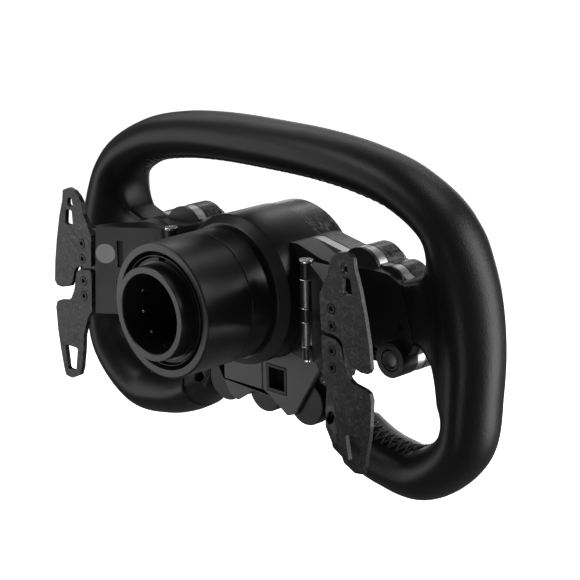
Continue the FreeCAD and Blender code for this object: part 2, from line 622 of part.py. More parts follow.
def build_contact_pins():
    pins = []
    for column in range(5):
        for row in (-1, 1):
            x = (column - 2) * 3.2
            profile = [(0, -31.6), (0.9, -31.6), (0.9, -29.8), (0.5, -29.2), (0, -29.2)]
            pins.append(spun(profile, x, row * 2.2))
    return group(pins)


def build_qr_bolts():
    bolts = []
    for i in range(6):
        angle = math.radians(60 * i + 30)
        x = QR_BOLT_PCD / 2 * math.cos(angle)
        z = QR_BOLT_PCD / 2 * math.sin(angle)
        bolts.append(socket_screw(x, z, -37.6, 3.4, 3.4, 2.0, 21.5))
    return group(bolts)


# ---- Paddle shifter (right side) ----
def arm_point(along, across):
    """Point in plan on the arm: distance from the hinge, and rearwards from the plate's middle."""
    angle = math.radians(ARM_ANGLE)
    across -= ARM_SET_FORWARD
    return (HINGE_X + along * math.cos(angle) - across * math.sin(angle),
            HINGE_Y + along * math.sin(angle) + across * math.cos(angle))


def upright(r, z0, z1, x=HINGE_X, y=HINGE_Y):
    return Part.makeCylinder(r, z1 - z0, V(x, y, z0), Z_AXIS)


def build_paddle_bracket():
    """Fixed bracket with the two light hinge barrels."""
    base = block(44.0, 61.5, HOUSING_REAR_Y, HOUSING_REAR_Y + 2.6, -22.0, 17.0)
    pieces = [base]
    for z0, z1 in KNUCKLE_SPANS:
        pieces.append(upright(KNUCKLE_R, z0, z1))
        pieces.append(block(HINGE_X - 2.0, HINGE_X + 2.0, HOUSING_REAR_Y + 1, HINGE_Y, z0, z1))
    bracket = fused(pieces)
    for z0, z1 in KNUCKLE_SPANS:
        bracket = bracket.cut(upright(PIN_R + 0.08, z0 - 1, z1 + 1))
    for z in BRACKET_SCREW_ZS:
        bracket = bracket.cut(cylinder(1.3, HOUSING_REAR_Y - 1, HOUSING_REAR_Y + 3, 57.5, z))
    return bracket.cut(cylinder(HUB_R + 0.2, HOUSING_REAR_Y - 1, HOUSING_REAR_Y + 20))


def build_paddle_arm():
    half = ARM_THICK / 2
    reach = (ARM_END_X - HINGE_X) / math.cos(math.radians(ARM_ANGLE))
    front_y = PADDLE_REAR_Y - PADDLE_THICK - ARM_THICK
    back_y = PADDLE_REAR_Y - PADDLE_THICK
    outline = [arm_point(ARM_START, -half), arm_point(reach, -half), (ARM_END_X + 3.4, front_y),
               (FLANGE_X, front_y), (FLANGE_X, back_y), (ARM_END_X + 2.6, back_y),
               arm_point(reach - 1.0, half), arm_point(ARM_START, half)]
    arm = plate_xy(outline, ARM_BOTTOM_Z, ARM_TOP_Z)
    pieces = [arm]
    web = [arm_point(0.0, -half), arm_point(6.0, -half), arm_point(6.0, half),
           arm_point(0.0, ARM_SET_FORWARD + half)]
    for z0, z1 in LUG_SPANS:
        pieces.append(upright(LUG_R, z0, z1))
        pieces.append(plate_xy(web, z0, z1))
    gusset = [(HINGE_X - 1.0, HINGE_Y - 2.6), (HINGE_X + 2.0, HINGE_Y - 3.4), (69.0, -65.0), (74.0, -63.0),
              (86.0, -49.6), (88.4, -40.2), arm_point(reach, half), arm_point(ARM_START, half),
              (HINGE_X, HINGE_Y + 2.4)]
    pieces.append(plate_xy(gusset, ARM_TOP_Z - 0.6, ARM_TOP_Z + 1.6))
    pieces.append(plate_xy([arm_point(9.0, -6.5), arm_point(21.0, -6.5), arm_point(21.0, 0.0),
                            arm_point(9.0, 0.0)], ARM_TOP_Z - 6.0, ARM_TOP_Z))
    arm = fused(pieces)
    arm = arm.cut(upright(PIN_R, -30, 30))
    for along, bottom, top, half_width in ARM_SLOTS:
        inner = along - half_width
        outer = along + half_width
        slot = [arm_point(inner, -4), arm_point(outer, -4), arm_point(outer, 4), arm_point(inner, 4)]
        arm = arm.cut(plate_xy(slot, bottom, top))
    x, y = arm_point(ARM_PAD[0], half - 1.2)
    angle = math.radians(ARM_ANGLE)
    normal = V(-math.sin(angle), math.cos(angle), 0)
    arm = arm.cut(Part.makeCylinder(ARM_PAD[2], 4.0, V(x, y, ARM_PAD[1]), normal))
    for z in SCREW_ZS:
        arm = arm.cut(cylinder(1.5, front_y - 1, back_y + 1, SCREW_X, z))
    return arm


def build_arm_magnet():
    angle = math.radians(ARM_ANGLE)
    x, y = arm_point(ARM_PAD[0], ARM_THICK / 2 - 1.2)
    normal = V(-math.sin(angle), math.cos(angle), 0)
    return Part.makeCylinder(ARM_PAD[2] - 0.1, 1.6, V(x, y, ARM_PAD[1]), normal)


def build_hinge_pin():
    """Pin with a head, and the thin washers between the knuckles."""
    pin = fused([upright(PIN_R, -28.6, 23.7), upright(WASHER_R, 23.7, 25.2)])
    pin = pin.cut(upright(1.1, 24.4, 26.0))
    washers = []
    for z in (14.72, -0.28, -7.48, -20.28):
        washers.append(upright(WASHER_R, z, z + 0.56).cut(upright(PIN_R + 0.02, z - 1, z + 1)))
    return group([pin] + washers)


def rounded_corners(plate, radii):
    """Round the corners that run along Y, with the first radius that the outline has room for."""
    edges = [e for e in plate.Edges if abs(e.BoundBox.XLength) < 1e-6 and abs(e.BoundBox.ZLength) < 1e-6]
    for radius in radii:
        try:
            rounded = plate.makeFillet(radius, edges)
        except Part.OCCError:
            continue
        if rounded.isValid() and rounded.Volume > 0:
            return rounded
    print("corners stay sharp")
    return plate


def build_paddle(outline, windows, screw_zs):
    back_y = PADDLE_REAR_Y - PADDLE_THICK
    paddle = rounded_corners(plate_xz(outline, back_y, PADDLE_REAR_Y), [1.6, 1.2, 0.8, 0.5])
    for window in windows:
        opening = rounded_corners(plate_xz(window, back_y - 1, PADDLE_REAR_Y + 1), [1.2, 0.8, 0.4])
        paddle = paddle.cut(opening)
    for z in screw_zs:
        paddle = paddle.cut(cylinder(1.5, back_y - 1, PADDLE_REAR_Y + 1, SCREW_X, z))
        paddle = paddle.cut(cylinder(2.6, PADDLE_REAR_Y - SCREW_SINK, PADDLE_REAR_Y + 1, SCREW_X, z))
    return paddle


def build_paddle_screws():
    return group([socket_screw(SCREW_X, z, PADDLE_REAR_Y + 0.2, 2.4, SCREW_SINK + 0.2, 1.45, 4.0)
                  for z in SCREW_ZS])


# ---- Build every node ----
def main():
    rim_core, grip_outer, grip_core, cap_outer = build_rim()
    screws = build_housing_screws()
    rim_core = rim_core.cut(screws)
    save("rim_core", rim_core)
    tongue_clear = plate_xz(TONGUE_CLEARANCE, SEAM_Y + 0.3, FRAME_REAR_Y - 0.3)
    grip = grip_outer.cut(grip_core).cut(tongue_clear).cut(mirrored(tongue_clear))
    save("rim_grip", grip)
    mid_frame = build_mid_frame(rim_core)
    wrap = spoke_wrap(grip_outer).cut(mid_frame)
    housing = build_rear_housing()
    wrap = wrap.cut(housing).cut(outline_solid(0.0, PLATE_FRONT_Y, SEAM_Y))
    save_pair("spoke_wrap", wrap)
    save_pair("lower_bracket", build_lower_bracket(cap_outer, grip_core))
    save("front_plate", build_front_plate())
    save("mid_frame", mid_frame)
    save_pair("rear_housing", housing)
    save("hub_barrel", build_hub_barrel())
    save("hub_trim_ring", build_trim_ring())
    save("chin_housing", build_chin_housing())
    save("chin_cover", build_chin_cover())
    save("chin_panel", build_chin_panel())
    save("port_socket", build_port_socket())
    save("housing_screws", screws)
    save("display_glass", build_display_glass())
    save("display_module", build_display_module())
    save("main_board", build_main_board())
    save("encoder_modules", build_encoder_modules())
    save("button_switches", build_button_switches())
    names = ["top_button", "outer_button", "inner_button"]
    for name, spot in zip(names, control_spots()):
        save_pair(name, build_button(spot[0], spot[1]))
    save("centre_button", build_button(POD_E[0], POD_E[1]))
    save_pair("rotary_knob", build_knob(POD_A[0], POD_A[1], ROTARY_KNOB_R))
    save_pair("thumb_knob", build_knob(POD_D[0], POD_D[1], THUMB_KNOB_R))
    save_pair("rear_button", build_rear_button())
    save("qr_core", build_qr_core())
    save("qr_sleeve", build_qr_sleeve())
    save("qr_collar", build_qr_collar())
    save("qr_lock_balls", build_qr_balls())
    save("qr_spring", build_qr_spring())
    save("qr_retaining_clip", build_qr_clip())
    save("qr_contact_block", build_contact_block())
    save("qr_contact_pins", build_contact_pins())
    save("qr_bolts", build_qr_bolts())
    save_pair("paddle_bracket", build_paddle_bracket())
    save_pair("hinge_pin", build_hinge_pin())
    save_pair("paddle_arm", build_paddle_arm())
    save_pair("arm_magnet", build_arm_magnet())
    save_pair("upper_paddle", build_paddle(UPPER_PADDLE, UPPER_WINDOWS, SCREW_ZS[:2]))
    save_pair("lower_paddle", build_paddle(LOWER_PADDLE, LOWER_WINDOWS, SCREW_ZS[2:]))
    save_pair("paddle_screws", build_paddle_screws())


main()
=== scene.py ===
import json
import math

import bpy
import numpy as np
from mathutils import Matrix, Vector


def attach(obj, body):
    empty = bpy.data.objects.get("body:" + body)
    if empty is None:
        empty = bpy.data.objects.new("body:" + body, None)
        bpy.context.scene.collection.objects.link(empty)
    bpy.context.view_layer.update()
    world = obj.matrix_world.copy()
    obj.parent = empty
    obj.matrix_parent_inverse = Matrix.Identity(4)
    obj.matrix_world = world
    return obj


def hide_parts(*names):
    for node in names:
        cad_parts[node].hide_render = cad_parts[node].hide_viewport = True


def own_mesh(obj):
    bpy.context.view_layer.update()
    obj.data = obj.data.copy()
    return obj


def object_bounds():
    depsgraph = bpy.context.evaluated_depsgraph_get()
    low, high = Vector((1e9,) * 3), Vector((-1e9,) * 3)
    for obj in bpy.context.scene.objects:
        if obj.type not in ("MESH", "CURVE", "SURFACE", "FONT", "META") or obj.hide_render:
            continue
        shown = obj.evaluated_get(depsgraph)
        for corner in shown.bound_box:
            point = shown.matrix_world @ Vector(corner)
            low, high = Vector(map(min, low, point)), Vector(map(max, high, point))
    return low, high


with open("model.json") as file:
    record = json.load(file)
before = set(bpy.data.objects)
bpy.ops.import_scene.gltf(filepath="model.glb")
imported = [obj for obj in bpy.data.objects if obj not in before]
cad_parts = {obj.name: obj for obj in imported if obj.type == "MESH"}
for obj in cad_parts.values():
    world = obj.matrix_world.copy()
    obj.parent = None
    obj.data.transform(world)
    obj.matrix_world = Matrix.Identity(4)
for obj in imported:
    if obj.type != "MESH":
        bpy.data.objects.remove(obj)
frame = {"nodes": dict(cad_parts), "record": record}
cad_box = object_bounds()
nodes = frame["nodes"]
MM = 0.001


# ---- Materials ----
class Shade:
    """A procedural material under construction: a Principled shader with node helpers."""

    def __init__(self, name, color, rough, metal=0.0, specular=0.5, coat=0.0, coat_rough=0.1, sheen=0.0):
        self.mat = bpy.data.materials.new(name)
        self.mat.use_nodes = True
        self.tree = self.mat.node_tree
        self.bsdf = self.tree.nodes["Principled BSDF"]
        self.set("Base Color", (*color, 1.0))
        self.set("Roughness", rough)
        self.set("Metallic", metal)
        self.set("Specular IOR Level", specular)
        self.set("Coat Weight", coat)
        self.set("Coat Roughness", coat_rough)
        self.set("Sheen Weight", sheen)
        self.coords = self.tree.nodes.new("ShaderNodeTexCoord").outputs["Object"]

    def set(self, socket, value):
        self.bsdf.inputs[socket].default_value = value

    def node(self, kind, inputs, **settings):
        made = self.tree.nodes.new(kind)
        for key, value in settings.items():
            setattr(made, key, value)
        for key, value in inputs.items():
            if isinstance(value, bpy.types.NodeSocket):
                self.tree.links.new(value, made.inputs[key])
            else:
                made.inputs[key].default_value = value
        return made

    def link(self, output, socket):
        self.tree.links.new(output, self.bsdf.inputs[socket])

    def mapped(self, vector, **settings):
        """The vector scaled and turned by a mapping node; settings are its Scale and Rotation."""
        return self.node("ShaderNodeMapping", {"Vector": vector, **settings}).outputs[0]

    def noise(self, scale, detail=4.0, rough=0.5, vector=None):
        return self.node("ShaderNodeTexNoise", {"Vector": vector or self.coords, "Scale": scale,
                                                "Detail": detail, "Roughness": rough})

    def cells(self, scale, vector=None):
        return self.node("ShaderNodeTexVoronoi", {"Vector": vector or self.coords, "Scale": scale})

    def ramp(self, value, stops):
        made = self.node("ShaderNodeValToRGB", {"Fac": value})
        band = made.color_ramp
        while len(band.elements) < len(stops):
            band.elements.new(0.5)
        for element, (place, color) in zip(band.elements, stops):
            element.position = place
            element.color = (*color, 1.0) if len(color) == 3 else color
        return made.outputs["Color"]

    def mix(self, factor, a, b, blend="MIX"):
        made = self.tree.nodes.new("ShaderNodeMix")
        made.data_type = "RGBA"
        made.blend_type = blend
        for index, value in ((0, factor), (6, a), (7, b)):
            if isinstance(value, bpy.types.NodeSocket):
                self.tree.links.new(value, made.inputs[index])
            else:
                made.inputs[index].default_value = value
        return made.outputs[2]

    def span(self, value, low, high):
        """The value from 0..1 mapped to low..high."""
        return self.node("ShaderNodeMapRange", {"Value": value, "To Min": low, "To Max": high}).outputs[0]

    def bump(self, height, strength, distance, under=None):
        inputs = {"Height": height, "Strength": strength, "Distance": distance}
        if under is not None:
            inputs["Normal"] = under
        return self.node("ShaderNodeBump", inputs).outputs[0]


def grey(value):
    return (value, value, value * 1.02)


def leather_material():
    """Smooth black leather: pebble grain, fine creases, and worn sheen that varies slowly."""
    s = Shade("leather", grey(0.0035), 0.38, specular=0.17)
    grain = s.cells(1150.0)
    creases = s.noise(2600.0, 3.0, 0.6)
    slow = s.noise(26.0, 3.0, 0.55)
    s.link(s.span(slow.outputs["Fac"], 0.34, 0.42), "Roughness")
    s.link(s.ramp(slow.outputs["Fac"], [(0.3, grey(0.002)), (0.7, grey(0.0035))]), "Base Color")
    first = s.bump(grain.outputs["Distance"], 0.22, 0.00025)
    s.link(s.bump(creases.outputs["Fac"], 0.10, 0.0002, first), "Normal")
    return s.mat


def forged_carbon_material(name, scale, dark, light, coat):
    """Pressed carbon chips: flat flakes of different greys, with fibre streaks inside each flake."""
    s = Shade(name, grey(0.03), 0.34, specular=0.16, coat=coat, coat_rough=0.2)
    warp = s.noise(scale * 0.9, 2.0, 0.5)
    pushed = s.mix(0.09, s.coords, warp.outputs["Color"], "ADD")
    flakes = s.cells(scale, vector=s.mapped(pushed, Scale=(1.0, 1.0, 0.55)))
    crossed = s.cells(scale * 1.6, vector=s.mapped(pushed, Rotation=(0.4, 0.9, 0.7), Scale=(0.5, 1.0, 1.2)))
    fibres = s.noise(scale * 9.0, 4.0, 0.65, vector=s.mapped(pushed, Rotation=(0.2, 0.6, 0.9),
                                                             Scale=(1.0, 0.25, 0.25)))
    first_tones = [(0.25, grey(dark)), (0.55, grey(dark * 1.8)), (0.9, grey(light))]
    second_tones = [(0.3, grey(dark)), (0.62, grey(dark * 2.2)), (0.93, grey(light * 1.2))]
    both = s.mix(0.5, s.ramp(flakes.outputs["Color"], first_tones),
                 s.ramp(crossed.outputs["Color"], second_tones))
    streaks = s.ramp(fibres.outputs["Fac"], [(0.35, grey(0.15)), (0.65, grey(1.7))])
    streaked = s.mix(0.45, both, streaks, "MULTIPLY")
    s.link(streaked, "Base Color")
    s.link(s.span(crossed.outputs["Distance"], 0.26, 0.5), "Roughness")
    first_bump = s.bump(flakes.outputs["Distance"], 0.10, 0.0002)
    s.link(s.bump(fibres.outputs["Fac"], 0.08, 0.0001, first_bump), "Normal")
    return s.mat


def metal_material(name, tone, rough, metal=1.0, grain=0.05, coat=0.0, specular=0.5):
    """Machined or blasted metal with fine grain and slightly uneven finish."""
    s = Shade(name, grey(tone), rough, metal=metal, coat=coat, specular=specular)
    fine = s.noise(5200.0, 2.0, 0.6)
    slow = s.noise(60.0, 3.0, 0.5)
    s.link(s.span(slow.outputs["Fac"], rough * 0.88, rough * 1.12), "Roughness")
    s.link(s.ramp(slow.outputs["Fac"], [(0.3, grey(tone * 0.9)), (0.7, grey(tone * 1.1))]), "Base Color")
    s.link(s.bump(fine.outputs["Fac"], grain, 0.0001), "Normal")
    return s.mat


def plastic_material(name, tone, rough, texture=0.12, specular=0.4):
    """Spark-textured moulded plastic."""
    s = Shade(name, grey(tone), rough, specular=specular)
    spark = s.noise(3600.0, 4.0, 0.7)
    slow = s.noise(38.0, 3.0, 0.5)
    s.link(s.span(slow.outputs["Fac"], rough * 0.9, rough * 1.1), "Roughness")
    s.link(s.ramp(slow.outputs["Fac"], [(0.3, grey(tone * 0.88)), (0.7, grey(tone * 1.12))]), "Base Color")
    s.link(s.bump(spark.outputs["Fac"], texture, 0.0002), "Normal")
    return s.mat


def thread_material():
    s = Shade("thread", grey(0.01), 0.6, specular=0.2, sheen=0.1)
    twist = s.node("ShaderNodeTexWave", {"Vector": s.coords, "Scale": 900.0, "Distortion": 2.0})
    s.link(s.bump(twist.outputs["Fac"], 0.4, 0.0002), "Normal")
    s.link(s.ramp(twist.outputs["Fac"], [(0.2, grey(0.006)), (0.8, grey(0.016))]), "Base Color")
    return s.mat


def glass_material():
    """Black cover glass with a faint smear in its polish."""
    s = Shade("display_cover", grey(0.004), 0.06, specular=0.6, coat=0.5, coat_rough=0.03)
    smear = s.noise(45.0, 3.0, 0.6)
    s.link(s.span(smear.outputs["Fac"], 0.04, 0.12), "Roughness")
    return s.mat


def board_material():
    s = Shade("solder_mask", (0.006, 0.045, 0.02), 0.35)
    tracks = s.node("ShaderNodeTexBrick", {
        "Vector": s.coords, "Scale": 160.0, "Color1": (0.006, 0.05, 0.02, 1),
        "Color2": (0.008, 0.065, 0.03, 1), "Mortar": (0.02, 0.12, 0.06, 1)})
    s.link(tracks.outputs["Color"], "Base Color")
    return s.mat


MATERIALS = {
    "leather": leather_material(),
    "forged_carbon": forged_carbon_material("forged_carbon", 150.0, 0.0005, 0.030, 0.05),
    "forged_gloss": forged_carbon_material("forged_gloss", 140.0, 0.0010, 0.09, 0.3),
    "anodised_black": metal_material("anodised_black", 0.004, 0.34, metal=0.0, specular=0.30),
    "frame_aluminium": metal_material("frame_aluminium", 0.30, 0.34),
    "black_plastic": plastic_material("black_plastic", 0.004, 0.38, specular=0.22),
    "grey_plastic": plastic_material("grey_plastic", 0.028, 0.5),
    "hinge_metal": metal_material("hinge_metal", 0.13, 0.38),
    "bright_steel": metal_material("bright_steel", 0.5, 0.22),
    "black_steel": metal_material("black_steel", 0.004, 0.28, metal=0.0, specular=0.12),
    "core_metal": metal_material("core_metal", 0.45, 0.45),
    "display_glass": glass_material(),
    "board": board_material(),
    "switch_body": plastic_material("switch_body", 0.04, 0.5),
    "knob_rubber": plastic_material("knob_rubber", 0.012, 0.6, 0.2),
    "button_cap": plastic_material("button_cap", 0.02, 0.35, 0.06),
    "gold_contact": metal_material("gold_contact", 0.6, 0.25),
    "steel_spring": metal_material("steel_spring", 0.4, 0.3),
    "thread": thread_material(),
}


def paint(obj, key):
    obj.data.materials.clear()
    obj.data.materials.append(MATERIALS[key])


# ---- CAD nodes keep their shape and take a finish ----
SLOTS = {part["node"]: part["material_slot"] for part in frame["record"]["subparts"]}
GLOSS_NODES = ("front_plate", "hub_trim_ring")


WELD_DISTANCE = 0.000004
FLAT_ANGLE = 0.4
SHARP_ANGLE = 30.0
BEVEL_SEGMENTS = 2


def soften_edges(obj, width):
    """Small rounded edges on a CAD node, by modifiers only; the width is in millimetres."""
    weld = obj.modifiers.new("weld", "WELD")
    weld.merge_threshold = WELD_DISTANCE
    flat = obj.modifiers.new("flat", "DECIMATE")
    flat.decimate_type = "DISSOLVE"
    flat.angle_limit = math.radians(FLAT_ANGLE)
    bevel = obj.modifiers.new("bevel", "BEVEL")
    bevel.width = width * MM
    bevel.segments = BEVEL_SEGMENTS
    bevel.limit_method = "ANGLE"
    bevel.angle_limit = math.radians(SHARP_ANGLE)
    bevel.use_clamp_overlap = True
    normal = obj.modifiers.new("normal", "WEIGHTED_NORMAL")
    normal.keep_sharp = False


EDGE_WIDTHS = {
    "qr_sleeve": 0.6, "qr_collar": 0.4, "qr_core": 0.25, "hub_barrel": 0.7, "hub_trim_ring": 0.5,
    "chin_cover": 0.6, "chin_housing": 1.2, "chin_panel": 0.3, "port_socket": 0.3,
    "front_plate": 0.4, "mid_frame": 0.3,
}
SIDE_EDGE_WIDTHS = {
    "upper_paddle": 0.4, "lower_paddle": 0.4, "paddle_arm": 0.4, "paddle_bracket": 0.35,
    "rear_housing": 1.6, "paddle_screws": 0.25, "hinge_pin": 0.25, "rear_button": 0.3,
}

for name, obj in nodes.items():
    slot = SLOTS[name]
    paint(obj, "forged_gloss" if name in GLOSS_NODES else slot)
    width = EDGE_WIDTHS.get(name) or SIDE_EDGE_WIDTHS.get(name.split("_", 1)[-1])
    if width:
        soften_edges(obj, width)


# ---- Camera, lights and floor ----
CAMERA_LENS = 122.04
CAMERA_TARGET = Vector((-0.00178, -0.0978, -0.00797))
CAMERA_DISTANCE = 1.0488
CAMERA_AZIMUTH = math.radians(225.195)
CAMERA_ELEVATION = math.radians(15.992)
CAMERA_ROLL = math.radians(-1.036)
FLOOR_SIZE = 12.0
FLOOR_BELOW = 0.30
FLOOR_GLOW = 0.95
WORLD_GLOW = 0.16


def add_camera():
    """View from behind on the driver's left, a little above."""
    data = bpy.data.cameras.new("camera")
    data.lens = CAMERA_LENS
    data.sensor_width = 36.0
    camera = bpy.data.objects.new("camera", data)
    bpy.context.scene.collection.objects.link(camera)
    level = math.cos(CAMERA_ELEVATION)
    back = Vector((math.sin(CAMERA_AZIMUTH) * level, -math.cos(CAMERA_AZIMUTH) * level,
                   math.sin(CAMERA_ELEVATION)))
    camera.location = CAMERA_TARGET + back * CAMERA_DISTANCE
    turn = (-back).to_track_quat("-Z", "Y").to_matrix()
    roll = Matrix.Rotation(CAMERA_ROLL, 3, "Z")
    camera.rotation_mode = "QUATERNION"
    camera.rotation_quaternion = (turn @ roll).to_quaternion()
    bpy.context.scene.camera = camera
    return camera


def add_area(name, place, aim, size, power):
    data = bpy.data.lights.new(name, "AREA")
    data.shape = "RECTANGLE"
    data.size = size[0]
    data.size_y = size[1]
    data.energy = power
    light = bpy.data.objects.new(name, data)
    bpy.context.scene.collection.objects.link(light)
    light.location = place
    light.rotation_mode = "QUATERNION"
    light.rotation_quaternion = (Vector(aim) - Vector(place)).to_track_quat("-Z", "Y")
    return light


def add_floor():
    """Pale floor, kept out of reflections so that the black parts stay deep."""
    z = cad_box[0].z - FLOOR_BELOW
    corners = [(x * FLOOR_SIZE, y * FLOOR_SIZE, z) for x, y in ((-1, -1), (1, -1), (1, 1), (-1, 1))]
    mesh = bpy.data.meshes.new("floor")
    mesh.from_pydata(corners, [], [(0, 1, 2, 3)])
    floor = bpy.data.objects.new("floor", mesh)
    bpy.context.scene.collection.objects.link(floor)
    s = Shade("floor", (0.93, 0.93, 0.93), 0.9, specular=0.1)
    tones = [(0.0, (0.92, 0.92, 0.92)), (1.0, (0.94, 0.94, 0.94))]
    s.link(s.ramp(s.noise(3.0).outputs["Fac"], tones), "Base Color")
    s.set("Emission Color", (1.0, 1.0, 1.0, 1.0))
    s.set("Emission Strength", FLOOR_GLOW)
    mesh.materials.append(s.mat)
    floor.visible_glossy = False


def add_world():
    world = bpy.data.worlds.new("studio")
    bpy.context.scene.world = world
    world.use_nodes = True
    background = world.node_tree.nodes["Background"]
    background.inputs["Color"].default_value = (1.0, 1.0, 1.0, 1.0)
    background.inputs["Strength"].default_value = WORLD_GLOW


# Soft boxes: place in the camera's directions (right, up, back towards it), size, watts
SOFT_BOXES = {
    "right_side": ((0.62, 0.02, 0.10), (0.30, 0.8), 6.0),
    "left_side": ((-1.15, 0.15, -0.10), (0.5, 1.3), 7.0),
    "top_back": ((0.0, 1.2, -1.0), (1.6, 0.3), 4.0),
    "top_left": ((-0.75, 1.0, 0.35), (0.7, 0.4), 5.5),
    "top_right": ((0.5, 1.15, 0.1), (0.6, 0.3), 3.0),
    "front_fill": ((-0.12, 0.12, 1.25), (0.16, 0.16), 0.5),
    "low_front": ((-0.50, -0.80, 1.15), (0.6, 0.4), 4.0),
    "driver_side": ((0.35, 0.35, -1.3), (0.9, 0.6), 3.0),
}


def add_studio(camera):
    """Soft boxes placed about the wheel in the camera's own directions."""
    centre = (cad_box[0] + cad_box[1]) / 2
    axes = camera.rotation_quaternion.to_matrix()
    right, up, back = axes.col[0], axes.col[1], axes.col[2]
    for name, (place, size, power) in SOFT_BOXES.items():
        where = centre + right * place[0] + up * place[1] + back * place[2]
        light = add_area(name, where, centre, size, power)
        light.visible_camera = False


scene = bpy.context.scene
scene.view_settings.view_transform = "Standard"
camera = add_camera()
add_world()
add_studio(camera)
add_floor()


# ---- Leather rim with flared spokes, in millimetres ----
RIM_Y = -89.3
# Centre line of the right half as (x, z, half width), then the top in the middle
RIM_KNOTS = [(46.0, -64.5, 12.2), (58.5, -72.2, 12.4), (70.0, -77.8, 12.5), (84.0, -81.6, 12.9),
             (107.0, -82.2, 13.4), (130.6, -63.0, 13.3), (136.0, -34.0, 13.1), (136.8, -5.0, 13.1),
             (132.0, 23.0, 12.6), (118.7, 48.0, 12.0), (93.5, 63.0, 12.0), (67.0, 69.4, 12.2),
             (36.0, 72.4, 12.3)]
RIM_TOP = (0.0, 73.0, 12.3)
RIM_DEPTH = 17.5
RIM_STATIONS = 420
GRIP_END_X = 57.0
SPOKE_OUTLINE = [(93.5, 17.5), (98.5, 18.0), (109.0, 21.5), (124.0, 37.0), (132.0, 0.0), (124.0, -38.0),
                 (116.0, -22.0), (108.5, -14.5), (101.0, -13.5)]
SPOKE_REAR_Y = -80.1
SPOKE_FRONT_Y = -101.5
SPOKE_ROUND = 3.0
FLARE = 15.0
LEATHER_BOX = (np.array([-153.0, -110.0, -98.0]), np.array([153.0, -68.0, 89.0]))
LEATHER_STEP = 1.5


def smooth_curve(points, per_span):
    """Centripetal Catmull-Rom curve through the points."""
    points = np.array(points, float)
    ends = [2 * points[0] - points[1]], [2 * points[-1] - points[-2]]
    padded = np.vstack([ends[0], points, ends[1]])
    out = []
    for i in range(len(points) - 1):
        a, b, c, d = padded[i:i + 4]
        gaps = [max(np.linalg.norm(q[:2] - p[:2]), 1e-6) ** 0.5 for p, q in ((a, b), (b, c), (c, d))]
        t = np.cumsum([0.0] + gaps)
        u = np.linspace(t[1], t[2], per_span, endpoint=i == len(points) - 2)[:, None]
        ab = (t[1] - u) / (t[1] - t[0]) * a + (u - t[0]) / (t[1] - t[0]) * b
        bc = (t[2] - u) / (t[2] - t[1]) * b + (u - t[1]) / (t[2] - t[1]) * c
        cd = (t[3] - u) / (t[3] - t[2]) * c + (u - t[2]) / (t[3] - t[2]) * d
        abc = (t[2] - u) / (t[2] - t[0]) * ab + (u - t[0]) / (t[2] - t[0]) * bc
        bcd = (t[3] - u) / (t[3] - t[1]) * bc + (u - t[1]) / (t[3] - t[1]) * cd
        out.append((t[2] - u) / (t[2] - t[1]) * abc + (u - t[1]) / (t[2] - t[1]) * bcd)
    return np.vstack(out)


def rim_path():
    """Evenly spaced (x, z, half width) stations of the leather grip, lower left to lower right."""
    left = [(-x, z, w) for x, z, w in RIM_KNOTS]
    knots = left + [RIM_TOP] + RIM_KNOTS[::-1]
    fine = smooth_curve(knots, 60)
    low = fine[:, 1] < -55
    keep = ~(low & (np.abs(fine[:, 0]) < GRIP_END_X))
    fine = fine[keep]
    length = np.concatenate([[0], np.cumsum(np.linalg.norm(np.diff(fine[:, :2], axis=0), axis=1))])
    even = np.linspace(0, length[-1], RIM_STATIONS)
    return np.column_stack([np.interp(even, length, fine[:, i]) for i in range(3)]), even


PATH, PATH_LENGTH = rim_path()
TANGENT = np.gradient(PATH[:, :2], axis=0)
TANGENT /= np.linalg.norm(TANGENT, axis=1)[:, None]
INWARD = np.column_stack([TANGENT[:, 1], -TANGENT[:, 0]])


def rim_distance(p):
    """Signed distance to the oval grip, with flat ends."""
    nearest = np.empty(len(p), int)
    path = PATH[:, :2].astype(np.float32)
    flat = p[:, [0, 2]].astype(np.float32)
    for start in range(0, len(p), 20000):
        part = flat[start:start + 20000]
        apart = (part ** 2).sum(1)[:, None] - 2 * part @ path.T + (path ** 2).sum(1)
        nearest[start:start + 20000] = apart.argmin(1)
    away = p[:, [0, 2]] - PATH[nearest, :2]
    u = (away * INWARD[nearest]).sum(1)
    along = (away * TANGENT[nearest]).sum(1)
    v = p[:, 1] - RIM_Y
    a = PATH[nearest, 2]
    k0 = np.sqrt((u / a) ** 2 + (v / RIM_DEPTH) ** 2)
    k1 = np.sqrt((u / a ** 2) ** 2 + (v / RIM_DEPTH ** 2) ** 2) + 1e-9
    d = k0 * (k0 - 1) / k1
    d = np.where(k0 < 0.02, -a, d)
    beyond = np.where(nearest == 0, -along, np.where(nearest == len(PATH) - 1, along, -50.0))
    return np.maximum(d, beyond)


def polygon_distance(x, z, outline):
    """Signed distance to a polygon, negative inside."""
    points = np.array(outline, float)
    best = np.full(len(x), 1e9)
    sign = np.ones(len(x))
    for i in range(len(points)):
        a = points[i]
        b = points[i - 1]
        edge = b - a
        wx = x - a[0]
        wz = z - a[1]
        t = np.clip((wx * edge[0] + wz * edge[1]) / (edge @ edge), 0, 1)
        best = np.minimum(best, (wx - t * edge[0]) ** 2 + (wz - t * edge[1]) ** 2)
        above = z >= a[1]
        below = z < b[1]
        turn = edge[0] * wz > edge[1] * wx
        flip = (above & below & turn) | (~above & ~below & ~turn)
        sign = np.where(flip, -sign, sign)
    return sign * np.sqrt(best)


